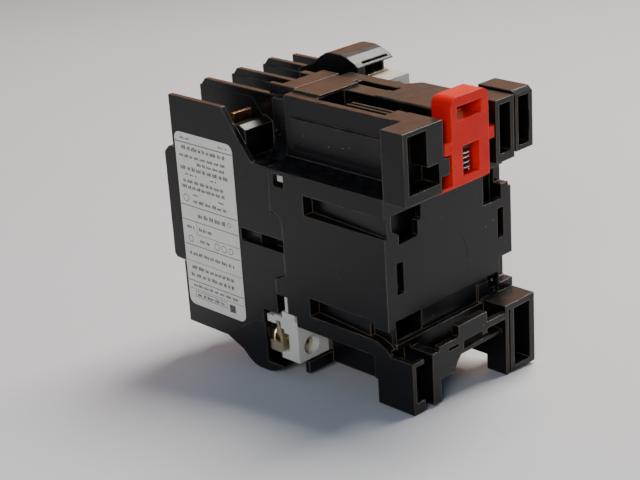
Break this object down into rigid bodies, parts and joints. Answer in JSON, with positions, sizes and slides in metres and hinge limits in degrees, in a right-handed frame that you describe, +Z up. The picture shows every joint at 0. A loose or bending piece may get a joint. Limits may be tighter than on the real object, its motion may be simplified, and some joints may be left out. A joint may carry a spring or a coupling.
{
  "type": "magnetic motor starter",
  "caption": "Rail-mount magnetic contactor with black housings, barrier-divided screw terminals, a spring-return contact carrier and a red sliding rail clip.",
  "frame": {"origin": "centre of the bounding box, at its lowest point (the lower coil terminal shroud)", "axes": "+Z up as the device stands in the picture (on its load side end, upside down from its usual place on a rail), +Y to the rear (rail side), +X to the rating label side"},
  "size_m": [0.0451, 0.0841, 0.0764],
  "materials": {
    "housing_black": "fine moulded texture, satin",
    "front_black": "fine moulded texture, satin",
    "clip_red": "smooth moulded acetal",
    "coil_ivory": "smooth moulded nylon",
    "carrier_black": "smooth moulded",
    "label_paper": "printed satin film",
    "marker_white": "smooth",
    "winding_copper": "enamelled copper wire",
    "wrap_amber": "polyester tape",
    "core_steel": "laminated sheet, oiled",
    "screw_steel": "zinc plated",
    "spring_steel": "drawn wire",
    "contact_copper": "plated copper strip with silver tips",
    "clamp_brass": "passivated brass",
    "cushion_rubber": "moulded rubber"
  },
  "bodies": {
    "base": {"rear_base": "housing_black", "contact_housing": "front_black", "front_cover": "front_black", "front_marker": "marker_white", "rating_label": "label_paper", "housing_screws": "screw_steel", "coil_bobbin": "coil_ivory", "coil_winding": "winding_copper", "coil_wrap": "wrap_amber", "coil_screws": "clamp_brass", "coil_clamps": "clamp_brass", "fixed_core": "core_steel", "shading_rings": "winding_copper", "core_cushion": "cushion_rubber", "terminal_screws": "screw_steel", "clamp_washers": "clamp_brass", "din_clip_spring": "spring_steel", "return_springs": "spring_steel", "line_contact_1": "contact_copper", "line_contact_2": "contact_copper", "line_contact_3": "contact_copper", "line_contact_aux": "contact_copper", "load_contact_1": "contact_copper", "load_contact_2": "contact_copper", "load_contact_3": "contact_copper", "load_contact_aux": "contact_copper"},
    "rail_clip": {"din_clip": "clip_red"},
    "carrier": {"contact_carrier": "carrier_black", "armature_core": "core_steel", "armature_pin": "screw_steel", "bridge_pole_1": "contact_copper", "bridge_pole_2": "contact_copper", "bridge_pole_3": "contact_copper", "bridge_aux": "contact_copper", "contact_spring_1": "spring_steel", "contact_spring_2": "spring_steel", "contact_spring_3": "spring_steel", "contact_spring_aux": "spring_steel"}
  },
  "joints": [
    {"name": "contact_carrier_slide", "type": "slide", "parent": "base", "child": "carrier", "axis": [0, 1, 0], "range_m": [0, 0.0039], "stiffness_N_per_m": 400, "springref_m": -0.004, "deforming": ["return_springs"]},
    {"name": "rail_clip_slide", "type": "slide", "parent": "base", "child": "rail_clip", "axis": [0, 0, 1], "range_m": [0, 0.003], "stiffness_N_per_m": 1200, "springref_m": -0.002, "deforming": ["din_clip_spring"]}
  ]
}
